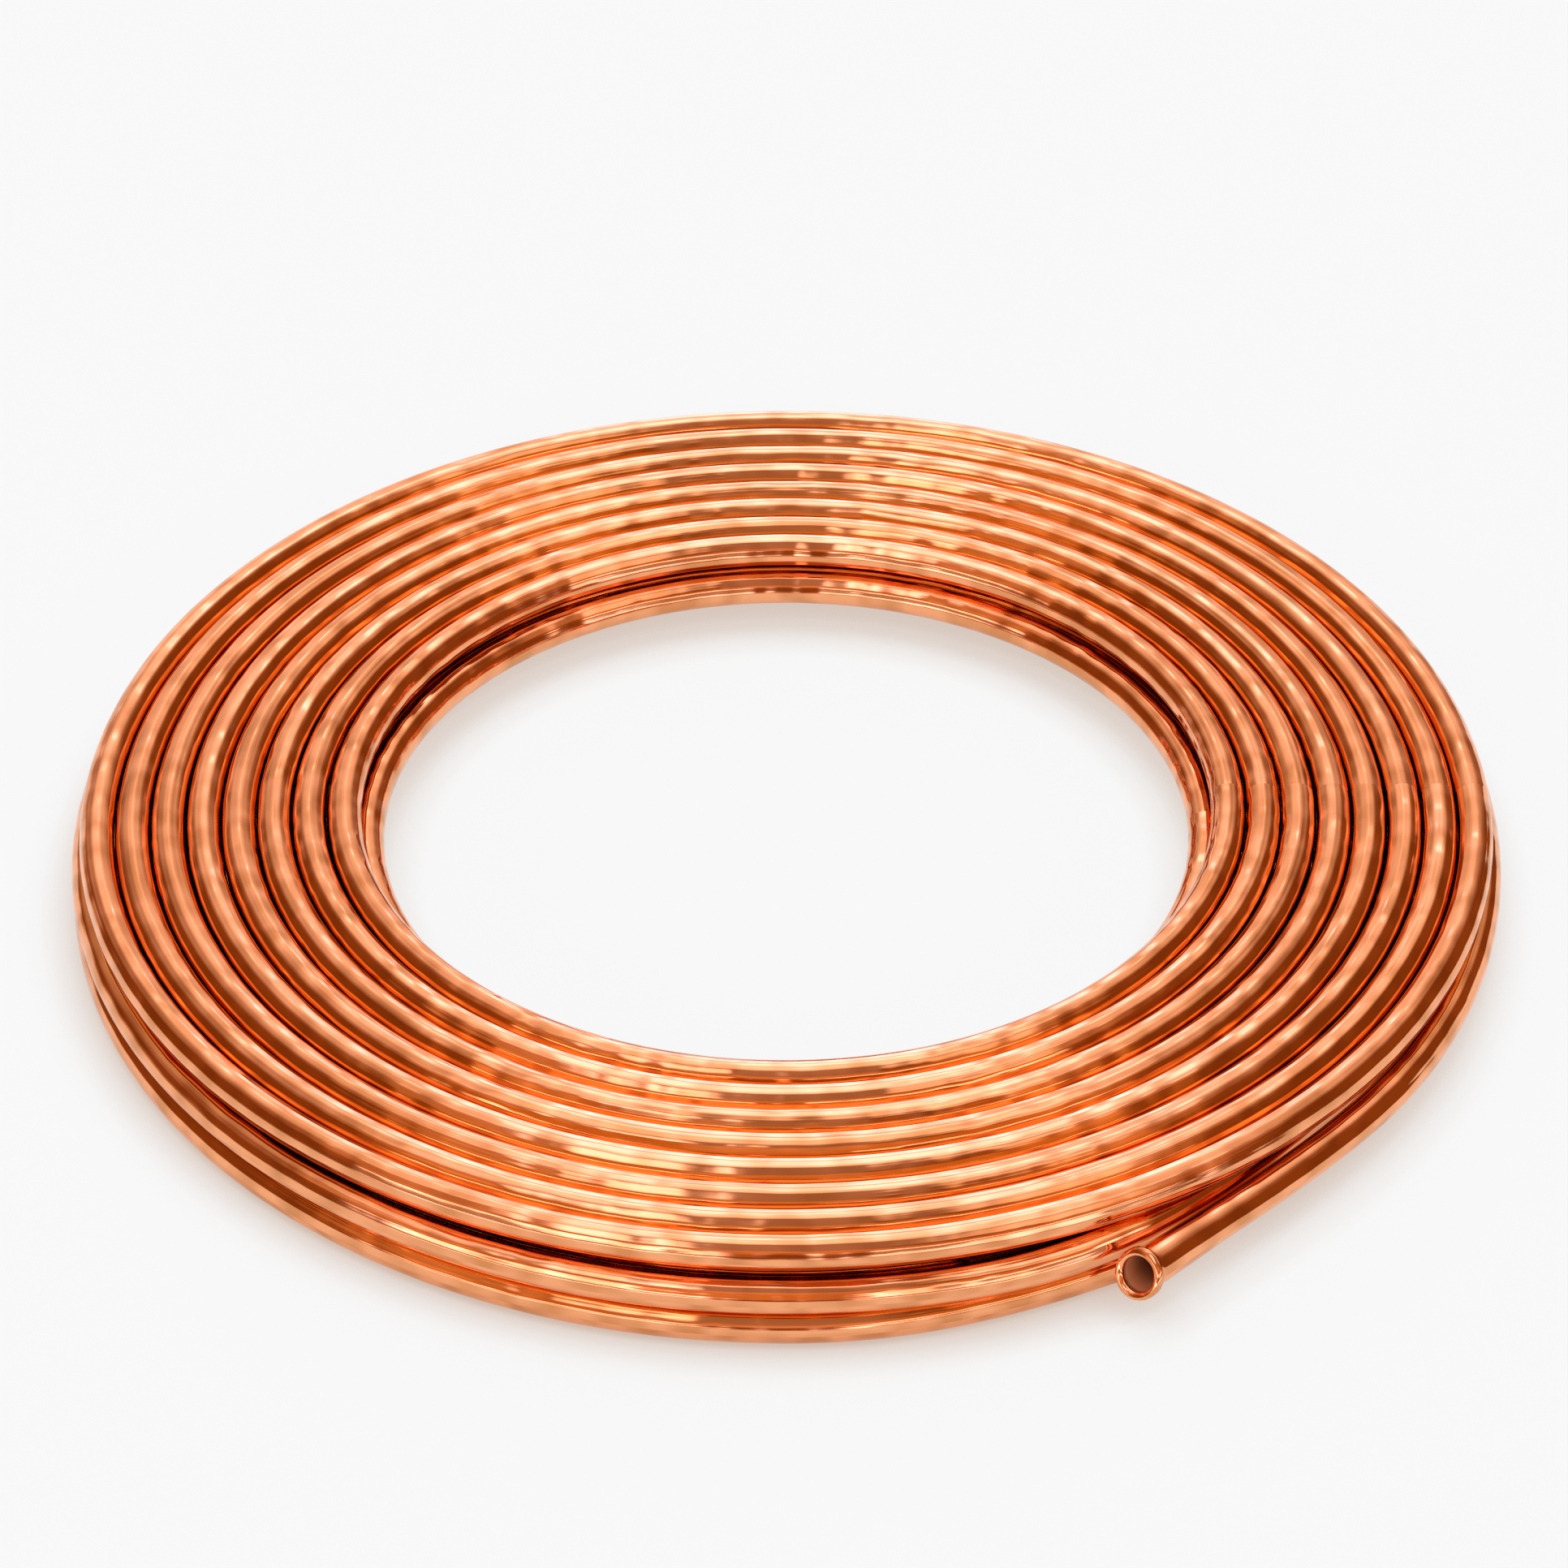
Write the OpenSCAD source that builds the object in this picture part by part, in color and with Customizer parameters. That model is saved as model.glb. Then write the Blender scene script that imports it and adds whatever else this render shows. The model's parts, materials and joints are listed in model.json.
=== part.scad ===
// Coil of copper tube: one length of tube wound flat in three layers, lying on its side, with one
// open end standing off the rim. The wound layers are one turned solid whose section is the rows of
// tube rounds that show on every face of the coil. At the rim the middle layer's last turn runs off
// into the free end, and the turn before it steps out behind it to take its place. The bottom layer's
// last turn steps out in the same way further round, and ends under the free end.
// Origin on the coil's axis at floor level, +Z up.

/* [Tube] */
// Outside diameter of the tube
tube_od = 12.7; // [9.5:0.1:16]
// Thickness of the tube's wall
tube_wall = 0.711; // [0.5:0.001:1.2]
// How much less the radius is of a length of tube that starts inside the one it carries on from
nip = 0.1; // [0.08:0.01:0.15]

/* [Coil] */
// Diameter of the eye, clear inside the innermost turn
eye_d = 300; // [240:1:360]
// Turns in the middle layer; the top layer lies in the hollows between them
middle_turns = 9; // [8:1:10]
// Turns in the bottom layer, counted inwards from the rim
bottom_turns = 6; // [4:1:7]
// Gap between neighbouring turns of a layer
turn_gap = 0.2; // [0.2:0.05:0.6]
// Gap between the crests of one layer and the next
layer_gap = 0.2; // [0.2:0.05:0.6]
// Thickness of the solid that bonds neighbouring turns at their centre lines
bond = 3; // [2:0.1:5]

/* [Free end] */
// Bearing at which the free end leaves the rim, from +X towards +Y
end_bearing = -40; // [-60:1:-20]
// Radius to which the free end has sprung open where it leaves the rim
spring_radius = 600; // [500:10:900]
// Length of that sprung stretch
spring_length = 75; // [60:1:90]
// Length of the straight stretch from there to the mouth, with its open bore
straight_length = 40; // [25:1:60]
// Angle over which the turn before the last steps out to the rim
step_angle = 36; // [32:1:45]

/* [Other end] */
// Bearing at which the bottom layer's last turn starts to step out to the rim
other_step_bearing = 0; // [-20:1:40]
// Bearing at which that turn ends, under the free end
other_end_bearing = 297; // [285:1:300]

/* [Hidden] */
$fn = 96;
copper = [0.80, 0.42, 0.26];

tube_r = tube_od / 2;
bore_r = tube_r - tube_wall;
turn_pitch = tube_od + turn_gap;
layer_rise = tube_od + layer_gap;

// Heights of the three layers' centre lines
bottom_z = tube_r;
middle_z = bottom_z + layer_rise;
top_z = middle_z + layer_rise;

// Radii of the centre lines at the edges of each layer. The last two turns of the lower layers, the
// rim and the one before it, part where the tube steps out.
top_turns = middle_turns - 1;
middle_in = eye_d / 2 + tube_r;
rim = middle_in + (middle_turns - 1) * turn_pitch;
before_rim = rim - turn_pitch;
whole_rim = before_rim - turn_pitch;
top_in = middle_in + turn_pitch / 2;
top_out = top_in + (top_turns - 1) * turn_pitch;
top_over = whole_rim + turn_pitch / 2;
bottom_in = rim - (bottom_turns - 1) * turn_pitch;

// The step is two arcs that touch each other and the turns that they join, and each turns through
// half of the step's angle: one bends in from the rim, and a longer one eases onto the turn before.
step_shift = turn_pitch / (2 * (1 - cos(step_angle / 2)));
bend_radius = rim - step_shift;
ease_radius = before_rim + step_shift;

// Angle through which the sprung stretch still turns
spring_angle = spring_length / spring_radius * 180 / PI;

// Each length of tube starts this far inside the one that it carries on from
overlap = tube_r / 4;

// The bottom layer's turn before the last starts this far round behind the step
tuck_angle = 3;

// One layer in section: a row of tube rounds
module layer_rounds(inner, count, z) {
    for (turn = [0 : count - 1])
        translate([inner + turn * turn_pitch, z]) circle(r = tube_r);
}

// A bar in section that bonds a row of turns from centre to centre
module bond_bar(inner, outer, z) {
    translate([inner, z - bond / 2]) square([outer - inner, bond]);
}

// The turns that run whole, in section, closed inside from centre to centre
module whole_section() {
    layer_rounds(bottom_in, bottom_turns - 2, bottom_z);
    layer_rounds(middle_in, middle_turns - 2, middle_z);
    layer_rounds(top_in, top_turns, top_z);
    bond_bar(bottom_in, whole_rim, bottom_z);
    bond_bar(middle_in, whole_rim, middle_z);
    bond_bar(top_in, top_out, top_z);
    polygon([
        [bottom_in, bottom_z],
        [whole_rim, bottom_z],
        [whole_rim, middle_z],
        [top_over, top_z],
        [top_in, top_z],
        [middle_in, middle_z],
        [bottom_in, middle_z]
    ]);
}

// The middle layer's last two turns in section, which part at the free end
module parting_section() {
    layer_rounds(before_rim, 2, middle_z);
    bond_bar(whole_rim, rim, middle_z);
    polygon([
        [whole_rim - turn_pitch, middle_z],
        [rim, middle_z],
        [top_out, top_z],
        [top_over - turn_pitch, top_z]
    ]);
}

// One of the bottom layer's last turns in section, bonded to the turn inside it
module bottom_section(radius) {
    layer_rounds(radius, 1, bottom_z);
    bond_bar(radius - turn_pitch, radius, bottom_z);
}

// An arc of tube at a layer's height, which starts inside the tube that it carries on from
module tube_arc(radius, angle, z, nips) {
    lead = overlap / radius * 180 / PI;
    rotate([0, 0, -lead])
        rotate_extrude(angle = angle + 2 * lead)
            translate([radius, z]) circle(r = tube_r - nips * nip);
}

// The turn before the last, stepping out from the XZ plane to the rim
module step(z) {
    rotate([0, 0, -step_angle]) translate([step_shift, 0, 0])
        tube_arc(bend_radius, step_angle / 2, z, 1);
    translate([-step_shift, 0, 0]) rotate([0, 0, -step_angle / 2])
        tube_arc(ease_radius, step_angle / 2, z, 2);
}

// The middle layer's last two turns, from the free end round to the step behind it
module middle_rim() {
    rotate([0, 0, end_bearing]) {
        rotate_extrude(angle = 360 - step_angle) parting_section();
        step(middle_z);
    }
}

// The bottom layer's last two turns, from the step round to the end under the free end
module bottom_rim() {
    last_start = other_step_bearing + step_angle;
    before_start = last_start + tuck_angle;
    rotate([0, 0, other_step_bearing]) mirror([0, 1, 0]) step(bottom_z);
    rotate([0, 0, before_start])
        rotate_extrude(angle = 360 - step_angle - tuck_angle) bottom_section(before_rim);
    rotate([0, 0, last_start])
        rotate_extrude(angle = other_end_bearing - last_start) bottom_section(rim);
}

// Moves its children to the centre that the sprung stretch turns about
module on_spring() {
    rotate([0, 0, end_bearing]) translate([rim - spring_radius, 0, 0]) rotate([0, 0, -spring_angle])
        children();
}

// Moves its children onto the straight stretch's line, whose own z runs out to the mouth
module on_straight() {
    on_spring() translate([spring_radius, 0, middle_z]) rotate([90, 0, 0])
        children();
}

// The free end: it springs open from the rim and runs out straight
module free_end() {
    on_spring() tube_arc(spring_radius, spring_angle, middle_z, 1);
    on_straight() translate([0, 0, -overlap])
        cylinder(r = tube_r, h = straight_length + overlap);
}

module copper_tube() {
    color(copper)
        difference() {
            union() {
                rotate_extrude() whole_section();
                middle_rim();
                bottom_rim();
                free_end();
            }
            on_straight() cylinder(r = bore_r, h = straight_length + overlap);
        }
}

copper_tube();
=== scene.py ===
"""A coil of bright copper tube, wound flat in three layers, on a pale studio floor.

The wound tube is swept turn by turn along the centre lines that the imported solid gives, and it
stands for that solid. Lengths are in metres.
"""

import json
import math

import bpy
import numpy as np
from mathutils import Matrix, Vector
from mathutils.kdtree import KDTree


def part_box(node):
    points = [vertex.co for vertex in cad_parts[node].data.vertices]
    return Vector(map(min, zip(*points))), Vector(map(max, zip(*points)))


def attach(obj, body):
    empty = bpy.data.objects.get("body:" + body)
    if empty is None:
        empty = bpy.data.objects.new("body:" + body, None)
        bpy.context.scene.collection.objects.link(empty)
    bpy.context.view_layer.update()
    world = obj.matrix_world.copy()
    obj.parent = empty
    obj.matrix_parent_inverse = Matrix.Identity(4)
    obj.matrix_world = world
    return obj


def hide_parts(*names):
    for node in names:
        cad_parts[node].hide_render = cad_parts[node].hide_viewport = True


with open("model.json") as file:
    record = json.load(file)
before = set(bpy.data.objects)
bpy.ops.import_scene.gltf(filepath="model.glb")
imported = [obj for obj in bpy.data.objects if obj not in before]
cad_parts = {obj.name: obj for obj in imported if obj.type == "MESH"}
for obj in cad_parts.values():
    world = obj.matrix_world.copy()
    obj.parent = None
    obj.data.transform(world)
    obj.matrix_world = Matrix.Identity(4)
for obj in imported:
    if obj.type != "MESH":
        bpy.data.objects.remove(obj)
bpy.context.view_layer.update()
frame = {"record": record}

MM = 0.001
BODY = "root"
NODE = "copper_tube"

# What the meshes keep for their material: the UV map along the tube and round it in metres, the marks
# of the open end, which also set the bore's painted shade, and how clear of the next turn each vertex
# is, which sets the painted shade and painted reflection between the turns
UV_MAP = "along_and_round"
OPEN_END = "open_end"
CLEARANCE = "clearance"

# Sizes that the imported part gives
mount = frame["record"]["mounts"][0]
tube_r = mount["dims"]["r_mm"] * MM
mouth = Vector(mount["pos_m"])
out_of_mouth = Vector(mount["axis"])
high_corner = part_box(NODE)[1]

# The winding: layers from the bottom up, with the top one in the hollows of the middle one
turn_gap = 0.2 * MM
tube_wall = 0.711 * MM
pitch = 2 * tube_r + turn_gap
bore_r = tube_r - tube_wall
bottom_z = tube_r
middle_z = mouth.z
top_z = high_corner[2] - tube_r
rim = high_corner[0] - tube_r
before_rim = rim - pitch
middle_turns = 9
top_turns = middle_turns - 1
bottom_turns = 6
middle_in = rim - (middle_turns - 1) * pitch
top_in = middle_in + pitch / 2
bottom_in = rim - (bottom_turns - 1) * pitch

# How the layers sit: the top one wanders a little, and the lower ones are drawn in at the coil's two
# sides, each turn a little more than the one inside it. The bottom one is also tucked in where its
# last turn ends, behind the free end, between these bearings in degrees.
top_wander = 0.35 * MM
side_draw = 1.2 * MM
side_squeeze = 0.17 * MM
tuck = 4.5 * MM
tuck_rise = (272, 297)
tuck_fall = (305, 345)

# The free end leaves the rim at a bearing, springs open, and runs out straight to the mouth. The turn
# before it steps out to the rim behind it, and the bottom layer's last turn does so on the far side.
end_bearing = math.radians(-40)
step_angle = math.radians(36)
spring_radius = 600 * MM
bottom_end = math.radians(297)
bottom_step = math.radians(36)
bottom_start = math.radians(39)

# The last turn has sprung out a little where it comes to the free end, between bearings in degrees
spring_out = 2.6 * MM
spring_fall = (-38, -2)

# The rolled lip round the mouth, turned and tipped a little off square, with how far behind its front
# it falls to the tube and how high it still stands there, in millimetres
lip_r = 8.9 * MM
lip_inside = 6.2 * MM
lip_length = 9 * MM
lip_turn = math.radians(8)
lip_tip = math.radians(-26)
lip_fall = ((2.6, 1.9), (3.6, 0.7), (5.0, 0.15), (7.0, 0.0))
lip_front = mouth + 2 * MM * out_of_mouth
bore_depths = [depth * MM for depth in (60, 30, 14, 9, 5, 3)]

# The tube swells a little towards the lip
swell = 0.7 * MM
swell_length = 50 * MM

# Fineness of the swept tube
sides = 28
ring_spacing = 5 * MM
lip_bead_steps = 8

# How far each turn's pattern is shifted along from the last one's, in the layers from the top down
pattern_shifts = (7.3, 5.1, 6.2)

# How far from the next turn the painted shade of the crevices reaches, how far from a ring's centre
# the next turns are looked for, and how far beside it a point has to lie to be another turn's
crevice_shade_reach = 4.6 * MM
search_reach = 3.2 * tube_r
beside_reach = 1.5 * tube_r

# How much of the floor's look is its own glow, how far the coil shades it close by, and its colours
# there, as a painted shadow in the glow, and in the open
floor_glow = 0.88
contact_reach = 22 * MM
FLOOR_PAINTED_SHADOW = (0.66, 0.52, 0.43, 1.0)
FLOOR_OPEN = (0.960, 0.980, 0.980, 1.0)


def smooth_rise(value, low, high):
    """Nought below low, one above high, and a smooth rise between."""
    share = min(max((value - low) / (high - low), 0.0), 1.0)
    return share * share * (3 - 2 * share)


def wander(angle, seed, amount):
    """A smooth wandering value round a turn, the same every time for a seed."""
    total = 0.0
    for harmonic in (2, 3, 5, 7, 11):
        phase = 2.4 * seed * harmonic + 0.7 * harmonic
        total += math.sin(harmonic * angle + phase) / harmonic
    return amount * total


def top_radius(radius, angle):
    """A top turn's radius at a bearing: its circle, wandering a very little."""
    return radius + wander(angle, 1, top_wander)


def lower_radius(radius, angle):
    """A middle turn's radius at a bearing, drawn in at the coil's two sides."""
    squeeze = side_draw + side_squeeze * (radius - middle_in) / pitch
    return radius - squeeze * math.cos(angle) ** 2


def rim_radius(radius, angle):
    """The last turn's radius at a bearing, which springs out towards the free end."""
    sprung = 1 - smooth_rise(math.degrees(angle), *spring_fall)
    return lower_radius(radius, angle) + spring_out * sprung


def bottom_radius(radius, angle):
    """A bottom turn's radius at a bearing, also tucked in behind the free end."""
    bearing = math.degrees(angle) % 360
    tucked = smooth_rise(bearing, *tuck_rise) * (1 - smooth_rise(bearing, *tuck_fall))
    return lower_radius(radius, angle) - tuck * tucked


def turn_points(shape, radius, z, start, sweep):
    """Centre points along part of a turn, counter-clockwise from a bearing."""
    count = max(8, int(sweep * radius / ring_spacing))
    points = []
    for i in range(count + 1):
        angle = start + sweep * i / count
        r = shape(radius, angle)
        points.append((r * math.cos(angle), r * math.sin(angle), z))
    return points


def step_points(shape, first, last, z, start, sweep):
    """Centre points of the step from one turn's radius to the next, without its two ends."""
    count = max(8, int(sweep * rim / ring_spacing))
    points = []
    for i in range(1, count):
        share = i / count
        angle = start + sweep * share
        r = shape(first + (last - first) * smooth_rise(share, 0.0, 1.0), angle)
        points.append((r * math.cos(angle), r * math.sin(angle), z))
    return points


def free_end_points():
    """Centre points from behind the lip along the straight and sprung stretches to the rim."""
    bearing = math.atan2(out_of_mouth.x, -out_of_mouth.y)
    centre = Vector(((rim - spring_radius) * math.cos(end_bearing),
                     (rim - spring_radius) * math.sin(end_bearing), middle_z))
    joint = centre + spring_radius * Vector((math.cos(bearing), math.sin(bearing), 0.0))
    behind_lip = lip_front - lip_length * out_of_mouth
    straight_steps = 8
    points = [tuple(behind_lip.lerp(joint, i / straight_steps)) for i in range(straight_steps)]
    # The rim is drawn in at the sides, so the sprung stretch eases onto it
    spring_steps = 18
    offset = rim - rim_radius(rim, end_bearing)
    for i in range(spring_steps):
        share = i / spring_steps
        angle = bearing + (end_bearing - bearing) * share
        radius = spring_radius - offset * smooth_rise(share, 0.0, 1.0)
        spoke = radius * Vector((math.cos(angle), math.sin(angle), 0.0))
        points.append(tuple(centre + spoke))
    return points


def headings(points, closed):
    """Unit directions along a row of points."""
    path = np.array(points)
    if closed:
        ahead = np.roll(path, -1, axis=0) - np.roll(path, 1, axis=0)
    else:
        ahead = np.gradient(path, axis=0)
    return ahead / np.linalg.norm(ahead, axis=1)[:, None]


class TubeMesh:
    """Gathers swept tubes into one mesh with a UV map in metres: along the tube, and round it."""

    def __init__(self):
        self.verts = []
        self.faces = []
        self.uvs = []
        self.marks = []
        self.runs = []
        self.total = 0

    def add(self, points, radii, ahead, closed=False, along=0.0, marks=()):
        """Sweeps a ring of vertices along the points, and closes the two ends of an open run.

        The first rings may be marked as part of an open end.
        """
        path = np.array(points)
        side = np.cross(ahead, (0.0, 0.0, 1.0))
        side /= np.linalg.norm(side, axis=1)[:, None]
        up = np.cross(side, ahead)
        girth = np.linspace(0, 2 * math.pi, sides, endpoint=False)[None, :, None]
        ring = np.cos(girth) * side[:, None, :] + np.sin(girth) * up[:, None, :]
        verts = path[:, None, :] + np.array(radii)[:, None, None] * ring
        count = len(points)
        gaps = np.linalg.norm(np.diff(verts[:, 0], axis=0, append=verts[:1, 0]), axis=1)
        run = along + np.concatenate([[0.0], np.cumsum(gaps)])
        width = 2 * math.pi * tube_r / sides
        for i in range(count if closed else count - 1):
            here = self.total + i * sides
            there = self.total + (i + 1) % count * sides
            for k in range(sides):
                m = (k + 1) % sides
                self.faces.append((here + k, there + k, there + m, here + m))
                self.uvs += [(run[i], k * width), (run[i + 1], k * width),
                             (run[i + 1], (k + 1) * width), (run[i], (k + 1) * width)]
        if not closed:
            last = self.total + (count - 1) * sides
            self.faces.append(tuple(self.total + k for k in range(sides)))
            self.faces.append(tuple(last + k for k in reversed(range(sides))))
            self.uvs += [(run[0], k * width) for k in range(sides)]
            self.uvs += [(run[count - 1], k * width) for k in reversed(range(sides))]
        ring_marks = list(marks) + [0.0] * (count - len(marks))
        self.marks += [mark for mark in ring_marks for k in range(sides)]
        self.verts.append(verts.reshape(-1, 3))
        self.runs.append((path, np.array(ahead)))
        self.total += count * sides

    def add_turn(self, shape, radius, z, along):
        """A whole turn, closed on itself."""
        points = turn_points(shape, radius, z, 0.0, 2 * math.pi)[:-1]
        self.add(points, [tube_r] * len(points), headings(points, True), True, along)

    def build(self, name, material, clearances):
        """The piece itself, with its marks and clearances for the material."""
        mesh = bpy.data.meshes.new(name)
        mesh.from_pydata(np.vstack(self.verts).tolist(), [], self.faces)
        layer = mesh.uv_layers.new(name=UV_MAP)
        layer.data.foreach_set("uv", np.array(self.uvs).ravel())
        for label, values in ((OPEN_END, self.marks), (CLEARANCE, clearances)):
            mesh.attributes.new(label, "FLOAT", "POINT").data.foreach_set("value", values)
        mesh.materials.append(material)
        mesh.shade_smooth()
        piece = bpy.data.objects.new(name, mesh)
        bpy.context.scene.collection.objects.link(piece)
        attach(piece, BODY)
        return piece


def clearances_of(layer, layers):
    """How far each vertex of a layer is from the next turn, as a share of the crevices' reach."""
    centres = np.vstack([path for each in layers for path, ahead in each.runs])
    ways = np.vstack([ahead for each in layers for path, ahead in each.runs])
    tree = KDTree(len(centres))
    for i, centre in enumerate(centres):
        tree.insert(centre, i)
    tree.balance()
    rings = np.vstack(layer.verts).reshape(-1, sides, 3)
    own_centres = np.vstack([path for path, ahead in layer.runs])
    own_ways = np.vstack([ahead for path, ahead in layer.runs])
    shares = np.ones((len(rings), sides))
    for i, ring in enumerate(rings):
        near = [index for place, index, distance in tree.find_range(own_centres[i], search_reach)]
        # Points of the same turn lie ahead of the ring or behind it, and those of others beside it
        offset = centres[near] - own_centres[i]
        beside = np.linalg.norm(np.cross(offset, own_ways[i]), axis=1) > beside_reach
        if beside.any():
            others = np.array(near)[beside]
            spans = np.cross(ring[:, None, :] - centres[others][None], ways[others][None])
            gaps = np.linalg.norm(spans, axis=2).min(axis=1) - tube_r
            shares[i] = np.clip(gaps / crevice_shade_reach, 0.0, 1.0)
    return shares.ravel()


def make_top_layer():
    """Whole turns only."""
    layer = TubeMesh()
    for turn in range(top_turns):
        layer.add_turn(top_radius, top_in + turn * pitch, top_z, turn * pattern_shifts[0])
    return layer


def swollen(depth):
    """How much wider the free end is at a distance behind the lip's front."""
    return swell * (1 - smooth_rise(depth, 0.0, swell_length))


def lip_profile():
    """Distances in from the mouth and radii, from deep in the bore out over the rolled lip."""
    bead = (lip_r - lip_inside) / 2
    middle = (lip_r + lip_inside) / 2
    profile = []
    for depth in bore_depths:
        profile.append((depth, bore_r + swollen(depth)))
    for i in range(lip_bead_steps + 1):
        angle = math.pi * i / lip_bead_steps
        profile.append((bead - bead * math.sin(angle), middle - bead * math.cos(angle)))
    for depth, rise in lip_fall:
        profile.append((depth * MM, tube_r + swollen(depth * MM) + rise * MM))
    return profile


def make_middle_layer():
    """Whole turns, and the last two as one length that runs in from the lip."""
    layer = TubeMesh()
    for turn in range(middle_turns - 2):
        layer.add_turn(lower_radius, middle_in + turn * pitch, middle_z, turn * pattern_shifts[1])
    whole = 2 * math.pi - step_angle
    route = free_end_points()
    route += turn_points(rim_radius, rim, middle_z, end_bearing, whole)
    route += step_points(lower_radius, rim, before_rim, middle_z, end_bearing - step_angle, step_angle)
    route += turn_points(lower_radius, before_rim, middle_z, end_bearing, whole)
    lip = lip_profile()
    lip_points = [tuple(lip_front - depth * out_of_mouth) for depth, radius in lip]
    points = lip_points + route
    radii = [radius for depth, radius in lip]
    radii += [tube_r + swollen((Vector(point) - lip_front).length) for point in route]
    # The lip is turned and tipped a little off square
    ahead = headings(route, False)
    square = -out_of_mouth
    lip_ahead = []
    for depth, radius in lip:
        share = 1 - smooth_rise(depth, 0.0, lip_length)
        turn = Matrix.Rotation(lip_turn * share, 3, "Z")
        tip = Matrix.Rotation(lip_tip * share, 3, square.cross((0.0, 0.0, 1.0)))
        lip_ahead.append(turn @ tip @ square)
    # Up to one in the bore, rising with depth, where it paints the bore darker as painted shade, a
    # half on the lip, and none on the tube behind it
    marks = [0.6 + 0.4 * smooth_rise(depth, 2 * MM, 14 * MM) for depth in bore_depths]
    marks += [0.5] * (len(lip) - len(bore_depths))
    layer.add(points, radii, np.vstack([np.array(lip_ahead), ahead]), marks=marks)
    return layer


def cut_end(points):
    """Points and radii of the bore and edge of a tube that is cut square at its last point."""
    end = Vector(points[-1])
    back = (Vector(points[-2]) - end).normalized()
    edge = 0.2 * MM
    depths = (edge, 0.0, 0.0, edge, 4 * MM, 20 * MM)
    radii = [tube_r, tube_r - edge, bore_r + edge, bore_r, bore_r, bore_r]
    return [tuple(end + depth * back) for depth in depths], radii, [tuple(-back)] * len(depths)


def make_bottom_layer():
    """Whole turns, and the last two as one length that ends in a square cut."""
    layer = TubeMesh()
    for turn in range(bottom_turns - 2):
        layer.add_turn(bottom_radius, bottom_in + turn * pitch, bottom_z, turn * pattern_shifts[2])
    route = turn_points(bottom_radius, before_rim, bottom_z, bottom_start, 2 * math.pi - bottom_start)
    route += step_points(bottom_radius, before_rim, rim, bottom_z, 2 * math.pi, bottom_step)
    route += turn_points(bottom_radius, rim, bottom_z, bottom_step, bottom_end - bottom_step)
    end_points, end_radii, end_ahead = cut_end(route)
    route.pop()
    points = route + end_points
    radii = [tube_r] * len(route) + end_radii
    layer.add(points, radii, np.vstack([headings(route, False), end_ahead]))
    return layer


def add_node(tree, kind, **settings):
    """A shader node with the values of its inputs."""
    node = tree.nodes.new("ShaderNode" + kind)
    for name, value in settings.items():
        node.inputs[name.replace("_", " ")].default_value = value
    return node


def blend(tree, first, second, share):
    """A colour between two, each a plain colour or another node's output."""
    node = tree.nodes.new("ShaderNodeMix")
    node.data_type = "RGBA"
    for value, name in ((first, "A"), (second, "B")):
        if isinstance(value, tuple):
            node.inputs[name].default_value = value
        else:
            tree.links.new(value, node.inputs[name])
    tree.links.new(share, node.inputs["Factor"])
    return node.outputs["Result"]


def combine(tree, operation, first, second):
    """A maths node of two values, each a number or another node's output."""
    node = tree.nodes.new("ShaderNodeMath")
    node.operation = operation
    for value, socket in ((first, node.inputs[0]), (second, node.inputs[1])):
        if isinstance(value, float):
            socket.default_value = value
        else:
            tree.links.new(value, socket)
    return node.outputs["Value"]


def times(tree, first, second):
    """A product, without a node where the first value is one."""
    return second if first == 1.0 else combine(tree, "MULTIPLY", first, second)


def larger(tree, first, second):
    """The larger of two values."""
    return combine(tree, "MAXIMUM", first, second)


def ramp(tree, value, low, high, at_low=0.0, at_high=1.0):
    """A value that runs from one number to another as the given one goes from low to high."""
    node = add_node(tree, "MapRange", From_Min=low, From_Max=high, To_Min=at_low, To_Max=at_high)
    tree.links.new(value, node.inputs["Value"])
    return node.outputs["Result"]


def vertex_value(tree, name):
    """A number that the mesh keeps for each vertex."""
    node = tree.nodes.new("ShaderNodeAttribute")
    node.attribute_name = name
    return node.outputs["Fac"]


def tube_noise(tree, along, round_it, detail):
    """Noise with so many spots in a metre along the tube, and in a metre round it."""
    place = tree.nodes.new("ShaderNodeUVMap")
    place.uv_map = UV_MAP
    stretch = add_node(tree, "Mapping", Scale=(along, round_it, 1.0))
    tree.links.new(place.outputs["UV"], stretch.inputs["Vector"])
    noise = add_node(tree, "TexNoise", Scale=1.0, Detail=detail)
    tree.links.new(stretch.outputs["Vector"], noise.inputs["Vector"])
    return noise.outputs["Fac"]


def vector_step(tree, operation, vector):
    """A vector maths node on one vector."""
    node = tree.nodes.new("ShaderNodeVectorMath")
    node.operation = operation
    tree.links.new(vector, node.inputs[0])
    return node


def ripples(tree):
    """Noise that follows the bearing and changes little across a turn, so it runs over the tube."""
    where = tree.nodes.new("ShaderNodeTexCoord")
    flat = vector_step(tree, "MULTIPLY", where.outputs["Object"])
    flat.inputs[1].default_value = (1.0, 1.0, 0.0)
    reach = vector_step(tree, "LENGTH", flat.outputs["Vector"])
    bearing = vector_step(tree, "NORMALIZE", flat.outputs["Vector"])
    spot = tree.nodes.new("ShaderNodeSeparateXYZ")
    tree.links.new(bearing.outputs["Vector"], spot.inputs["Vector"])
    place = tree.nodes.new("ShaderNodeCombineXYZ")
    tree.links.new(spot.outputs["X"], place.inputs["X"])
    tree.links.new(spot.outputs["Y"], place.inputs["Y"])
    tree.links.new(times(tree, reach.outputs["Value"], 4.0), place.inputs["Z"])
    noise = add_node(tree, "TexNoise", Scale=14.0, Detail=0.0)
    tree.links.new(place.outputs["Vector"], noise.inputs["Vector"])
    return noise.outputs["Fac"]
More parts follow.
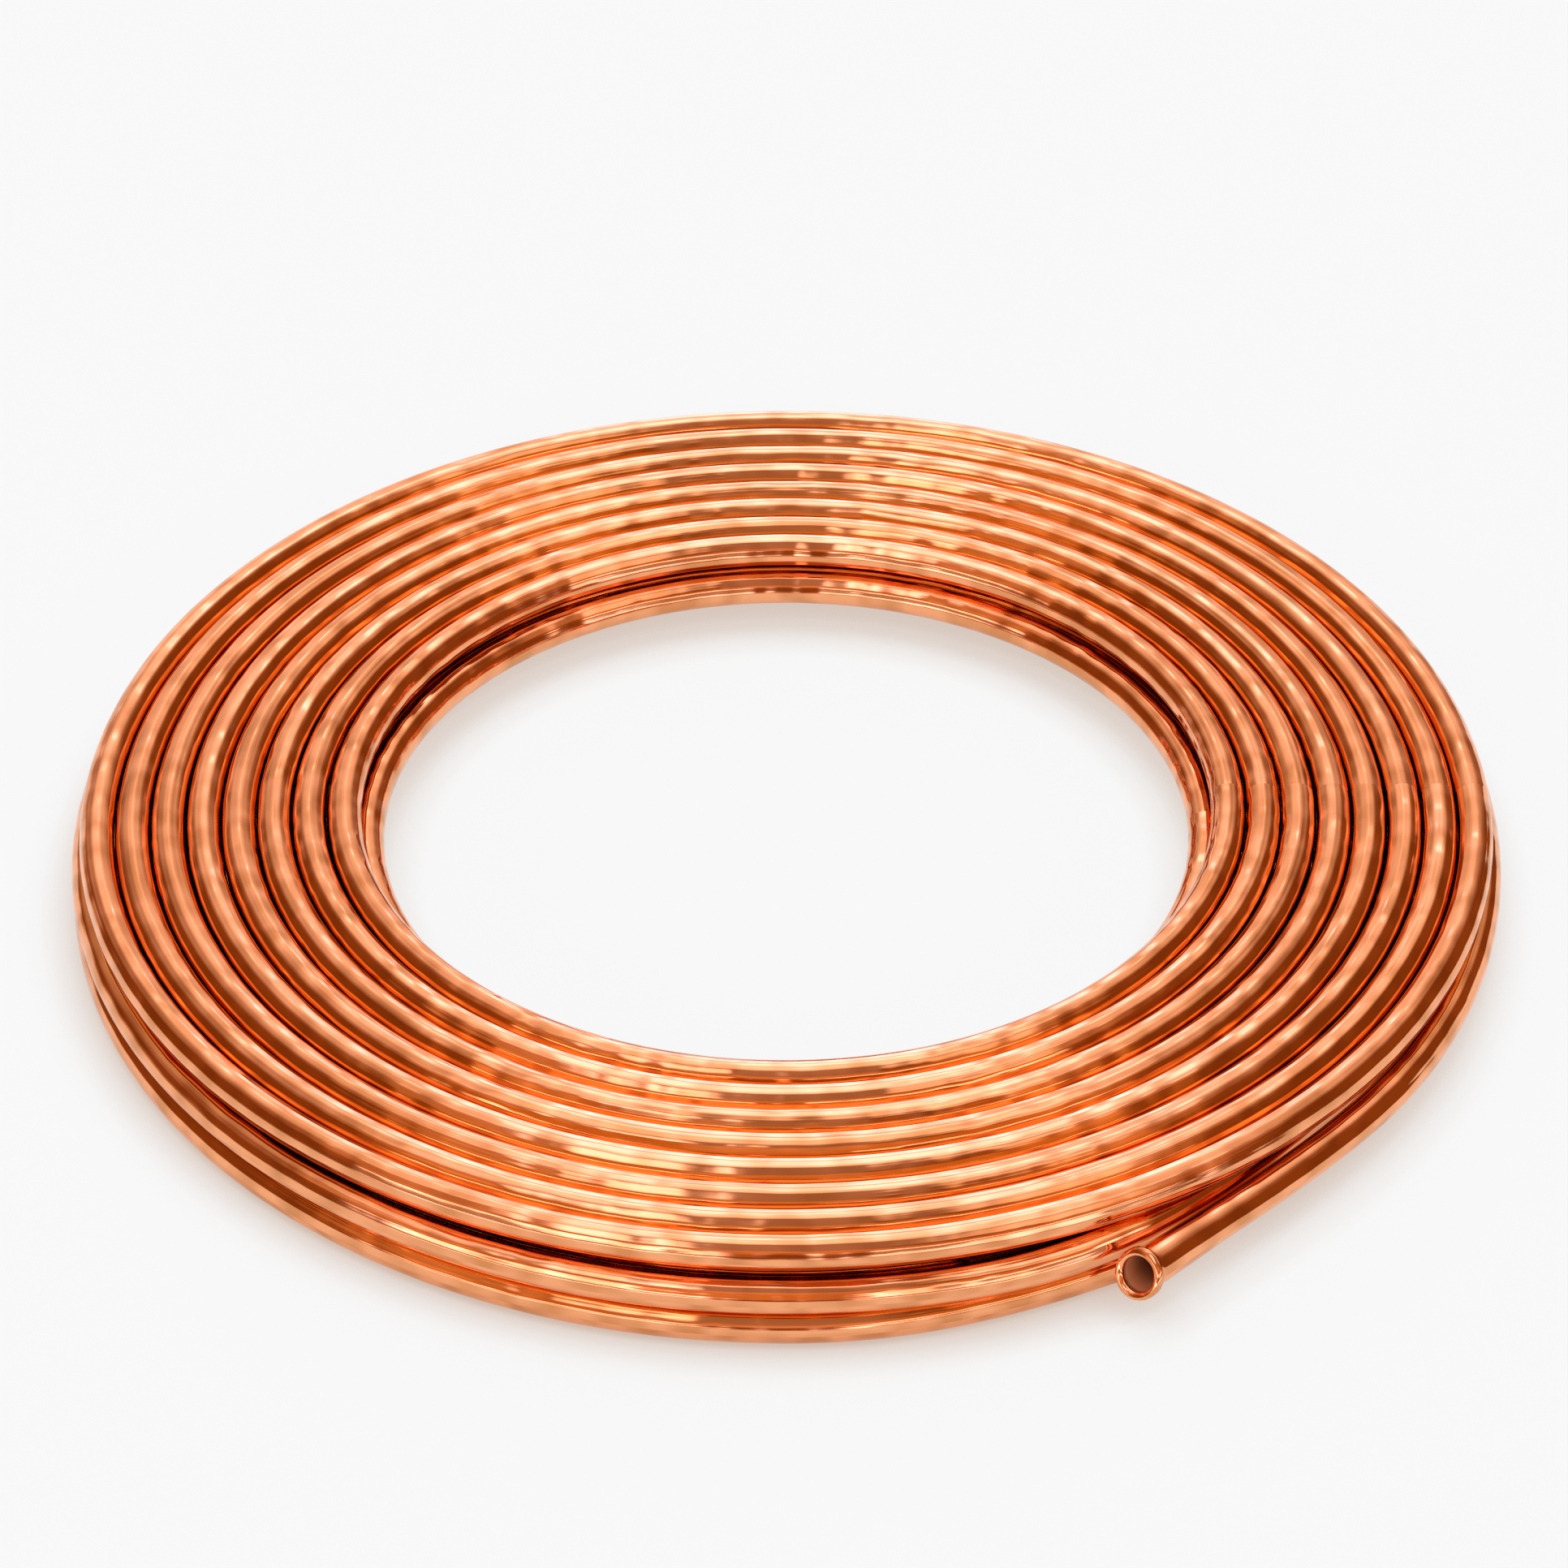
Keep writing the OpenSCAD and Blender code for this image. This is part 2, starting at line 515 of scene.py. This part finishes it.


# The copper's colours: bright, along the die lines, in dull marks, as painted reflection of the next
# turn on the flanks that face it, as painted shade deep in the crevices, and as painted shade in the
# bore
BRIGHT = (0.98, 0.42, 0.20, 1.0)
DRAWN = (0.94, 0.38, 0.172, 1.0)
DULL = (0.70, 0.27, 0.10, 1.0)
# Painted reflection of the next turn on the flanks, darker and deeper orange, and painted shade deep
# in the crevices
FLANK_PAINTED_REFLECTION = (0.80, 0.30, 0.075, 1.0)
CREVICE_PAINTED_SHADE = (0.06, 0.016, 0.004, 1.0)
# Painted shade deep in the bore
BORE_PAINTED_SHADE = (0.10, 0.035, 0.012, 1.0)

# Depths of the copper's relief, in metres
LINE_DEPTH = 0.00002
FLAT_DEPTH = 0.0004
RIPPLE_DEPTH = 0.001
DIMPLE_DEPTH = 0.0005


def copper_tone_and_painted_shade(tree, end_mark, lines, marks):
    """The copper's colour, with painted reflection of the next turn on its flanks and painted shade
    deep in the crevices, none at the open end, and painted shade deeper in the bore.
    """
    clear = larger(tree, vertex_value(tree, CLEARANCE), times(tree, end_mark, 2.0))
    tone = blend(tree, BRIGHT, DRAWN, lines)
    tone = blend(tree, tone, DULL, ramp(tree, marks, 0.40, 0.68, 0.0, 0.9))
    # Painted reflection of the next turn on the flanks, and painted shade deep in the crevices, both
    # by clearance from the next turn
    tone = blend(tree, FLANK_PAINTED_REFLECTION, tone, ramp(tree, clear, 0.26, 1.0))
    tone = blend(tree, CREVICE_PAINTED_SHADE, tone, ramp(tree, clear, 0.03, 0.085))
    # Painted shade in the bore, darker the deeper it lies
    return blend(tree, tone, BORE_PAINTED_SHADE, ramp(tree, end_mark, 0.5, 1.0))


def copper_material():
    """Bright drawn copper: lengthwise die lines and flats, ripples, dull marks, painted reflection of
    the next turn on the flanks, and painted shade in the crevices and the bore.
    """
    material = bpy.data.materials.new("bright_copper")
    material.use_nodes = True
    tree = material.node_tree
    link = tree.links.new
    shader = tree.nodes["Principled BSDF"]
    end_mark = vertex_value(tree, OPEN_END)
    lines = tube_noise(tree, 14.0, 1500.0, 3.0)
    flats = tube_noise(tree, 4.0, 440.0, 0.0)
    marks = tube_noise(tree, 80.0, 70.0, 0.5)
    link(copper_tone_and_painted_shade(tree, end_mark, lines, marks), shader.inputs["Base Color"])
    link(ramp(tree, marks, 0.3, 0.7, 0.06, 0.12), shader.inputs["Roughness"])
    # The bore is dull, and the lip is smooth
    link(ramp(tree, end_mark, 0.5, 0.6, 1.0, 0.1), shader.inputs["Metallic"])
    worn = ramp(tree, end_mark, 0.0, 0.5, 1.0, 0.0)
    relief = ((lines, LINE_DEPTH),
              (flats, FLAT_DEPTH),
              (ripples(tree), RIPPLE_DEPTH),
              (marks, DIMPLE_DEPTH))
    normal = None
    for height, depth in relief:
        bump = add_node(tree, "Bump", Distance=depth)
        link(worn, bump.inputs["Strength"])
        link(height, bump.inputs["Height"])
        if normal is not None:
            link(normal, bump.inputs["Normal"])
        normal = bump.outputs["Normal"]
    link(normal, shader.inputs["Normal"])
    return material


def make_coil():
    """The three layers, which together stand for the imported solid."""
    copper = copper_material()
    layers = {"top_layer": make_top_layer(),
              "middle_layer": make_middle_layer(),
              "bottom_layer": make_bottom_layer()}
    for name, layer in layers.items():
        piece = layer.build(name, copper, clearances_of(layer, layers.values()))
        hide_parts(NODE)


def floor_material():
    """A pale matt floor, shown near white to the eye and to the metal, with its real shadows kept in
    its matt share and a painted contact shadow in its glow.
    """
    material = bpy.data.materials.new("pale_floor")
    material.use_nodes = True
    tree = material.node_tree
    link = tree.links.new
    matt = tree.nodes["Principled BSDF"]
    matt.inputs["Base Color"].default_value = (0.90, 0.93, 0.96, 1.0)
    matt.inputs["Roughness"].default_value = 0.9
    matt.inputs["Specular IOR Level"].default_value = 0.0
    glow = add_node(tree, "Emission", Strength=1.0)
    close = add_node(tree, "AmbientOcclusion", Distance=contact_reach)
    close.samples = 6
    # A painted contact shadow in the glow, warm and darker where the coil closes in
    shade = blend(tree, FLOOR_PAINTED_SHADOW, FLOOR_OPEN, ramp(tree, close.outputs["AO"], 0.25, 0.9))
    link(shade, glow.inputs["Color"])
    rays = tree.nodes.new("ShaderNodeLightPath")
    seen = larger(tree, rays.outputs["Is Camera Ray"], rays.outputs["Is Glossy Ray"])
    seen = larger(tree, seen, rays.outputs["Is Transmission Ray"])
    mix = tree.nodes.new("ShaderNodeMixShader")
    link(times(tree, seen, floor_glow), mix.inputs["Fac"])
    link(matt.outputs["BSDF"], mix.inputs[1])
    link(glow.outputs["Emission"], mix.inputs[2])
    link(mix.outputs["Shader"], tree.nodes["Material Output"].inputs["Surface"])
    return material


def band(tree, value, low, high, soft):
    """A mask that is one where the value lies between low and high, with soft edges."""
    mask = 1.0
    for edge, falling in ((low, False), (high, True)):
        # No direction lies past an edge beyond one
        if abs(edge) > 1:
            continue
        slope = add_node(tree, "MapRange", From_Min=edge - soft, From_Max=edge + soft,
                         To_Min=1.0 if falling else 0.0, To_Max=0.0 if falling else 1.0)
        slope.interpolation_type = "SMOOTHSTEP"
        tree.links.new(value, slope.inputs["Value"])
        mask = times(tree, mask, slope.outputs["Result"])
    return mask


# The studio as white walls and cool softboxes in a dim warm room, each by its span in the direction's
# x (right), y (back) and z (up) as low edge, high edge and how soft the edges are, then its strength
# and its colour
ROOM = (0.26, 0.09, 0.02)
WHITE = (1.0, 1.0, 1.0)
CLEAR = (1.0, 1.05, 1.35)
COOL = (1.0, 1.1, 2.0)
WARM = (1.0, 0.45, 0.10)
AMBER = (1.0, 0.65, 0.40)
ALL = (-1.5, 1.5, 0.1)
SOFTBOXES = [
    # A long softbox behind and above the coil, with a bright core, over the back wall and its seam
    ((-0.42, 0.42, 0.34), (0.05, 1.5, 0.16), (0.66, 1.5, 0.12), 1.1, WHITE),
    ((-0.05, 0.05, 0.12), (0.50, 1.5, 0.10), (0.46, 0.70, 0.08), 0.35, COOL),
    ((-0.16, 0.16, 0.08), (0.24, 1.5, 0.10), (0.68, 0.93, 0.04), 1.0, COOL),
    ((-0.48, 0.36, 0.32), (0.0, 1.5, 0.2), (-0.10, 0.66, 0.12), 0.85, WHITE),
    ((-0.08, 0.08, 0.06), (0.50, 1.5, 0.1), (-0.30, 0.46, 0.06), 1.2, COOL),
    # High panels in front, left and right, and a dim one between them
    ((-0.40, -0.16, 0.08), (-0.56, -0.12, 0.10), (0.72, 1.5, 0.05), 2.1, CLEAR),
    ((0.24, 0.60, 0.08), (-0.38, -0.10, 0.08), (0.72, 1.5, 0.05), 0.9, WHITE),
    ((-0.25, 0.25, 0.10), (-0.80, 0.30, 0.1), (0.55, 1.5, 0.1), 0.20, WHITE),
    # Panels at the sides of those, low and warm, and high and clear
    ((-0.72, -0.38, 0.08), (-0.45, 0.10, 0.10), (0.60, 0.90, 0.06), 0.40, AMBER),
    ((0.36, 0.72, 0.08), (-0.45, 0.10, 0.10), (0.60, 0.90, 0.06), 0.30, AMBER),
    ((-0.52, -0.18, 0.07), (-0.05, 0.25, 0.08), (0.84, 1.5, 0.04), 0.5, CLEAR),
    ((0.18, 0.52, 0.07), (-0.05, 0.25, 0.08), (0.84, 1.5, 0.04), 0.75, CLEAR),
    # Warm light of the room in front, and the glow of the far floor
    ((-0.80, 0.80, 0.15), (-1.5, -0.25, 0.1), (0.40, 0.72, 0.08), 0.45, WARM),
    ((-1.5, 0.30, 0.2), ALL, (-0.5, 0.08, 0.12), 0.5, WHITE),
]
# Strip lights in front, left and right, over dim panels
for left, right, strength in ((-0.85, -0.12, 2.2), (0.12, 0.85, 1.8)):
    SOFTBOXES.append(((left, right, 0.06), (-1.5, -0.40, 0.06), (-0.3, 0.48, 0.06), 0.3, WHITE))
    for foot in (0.06, 0.36):
        high = (foot, foot + 0.11, 0.02)
        SOFTBOXES.append(((left, right, 0.06), (-1.5, -0.40, 0.06), high, strength, CLEAR))


def make_world():
    """The studio's light, by direction."""
    world = bpy.data.worlds.new("studio")
    bpy.context.scene.world = world
    world.use_nodes = True
    tree = world.node_tree
    way = tree.nodes.new("ShaderNodeTexCoord")
    axes = tree.nodes.new("ShaderNodeSeparateXYZ")
    tree.links.new(way.outputs["Generated"], axes.inputs["Vector"])
    # Softboxes that share a span share its mask
    masks = {}
    light = None
    for across, deep, high, strength, colour in SOFTBOXES:
        mask = 1.0
        for axis, span in zip("XYZ", (across, deep, high)):
            if (axis, span) not in masks:
                masks[axis, span] = band(tree, axes.outputs[axis], *span)
            mask = times(tree, mask, masks[axis, span])
        add = tree.nodes.new("ShaderNodeVectorMath")
        add.operation = "MULTIPLY_ADD"
        tree.links.new(mask, add.inputs[0])
        add.inputs[1].default_value = [strength * part for part in colour]
        if light is None:
            add.inputs[2].default_value = ROOM
        else:
            tree.links.new(light, add.inputs[2])
        light = add.outputs["Vector"]
    tree.links.new(light, tree.nodes["Background"].inputs["Color"])
    # The bright metal finds the softboxes by its own reflections
    world.cycles.sampling_method = "NONE"


def make_stage():
    """A pale floor under soft studio light."""
    bpy.ops.mesh.primitive_plane_add(size=12.0, location=(0.0, 0.0, 0.0))
    floor = bpy.context.object
    floor.name = "floor"
    floor.data.materials.append(floor_material())
    make_world()


def make_camera():
    """The photograph's view: from the front, a little over a third of the way up."""
    elevation = math.radians(36.9)
    distance = 1.9454
    target = Vector((0.0, 0.0, 0.02015))
    data = bpy.data.cameras.new("camera")
    data.sensor_width = 36.0
    data.lens = 120.53
    data.shift_x = -0.0014
    data.shift_y = 0.0248
    camera = bpy.data.objects.new("camera", data)
    camera.location = target + distance * Vector((0.0, -math.cos(elevation), math.sin(elevation)))
    camera.rotation_euler = (math.pi / 2 - elevation, 0.0, 0.0)
    bpy.context.scene.collection.objects.link(camera)
    bpy.context.scene.camera = camera


make_coil()
make_stage()
make_camera()
bpy.context.scene.view_settings.view_transform = "Standard"
